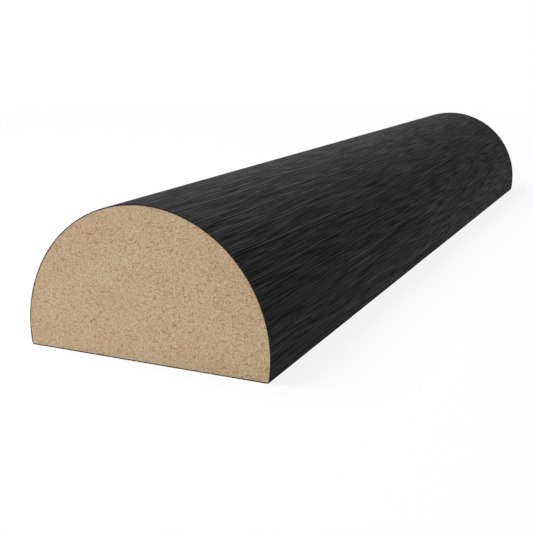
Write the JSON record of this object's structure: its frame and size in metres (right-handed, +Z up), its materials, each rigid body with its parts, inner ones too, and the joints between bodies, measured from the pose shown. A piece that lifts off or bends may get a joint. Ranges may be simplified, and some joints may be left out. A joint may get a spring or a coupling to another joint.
{
  "type": "half round batten",
  "caption": "Half round wall batten: a moulded fibreboard core wrapped all round in black woodgrain foil, with a flat back for gluing or nailing to a wall and bare sawn ends.",
  "frame": {"origin": "middle of the flat back, on the surface it lies on", "axes": "X across the batten, +Y along it away from the end shown in front, +Z up from the back to the crown"},
  "size_m": [0.052, 0.24, 0.03],
  "materials": {
    "mdf": "raw sawn fibreboard, matt, with fine darker fibres",
    "black_woodgrain_foil": "satin black decorative foil, embossed with fine long wood grain"
  },
  "bodies": {
    "root": {"mdf_core": "mdf", "foil_wrap": "black_woodgrain_foil"}
  },
  "joints": []
}
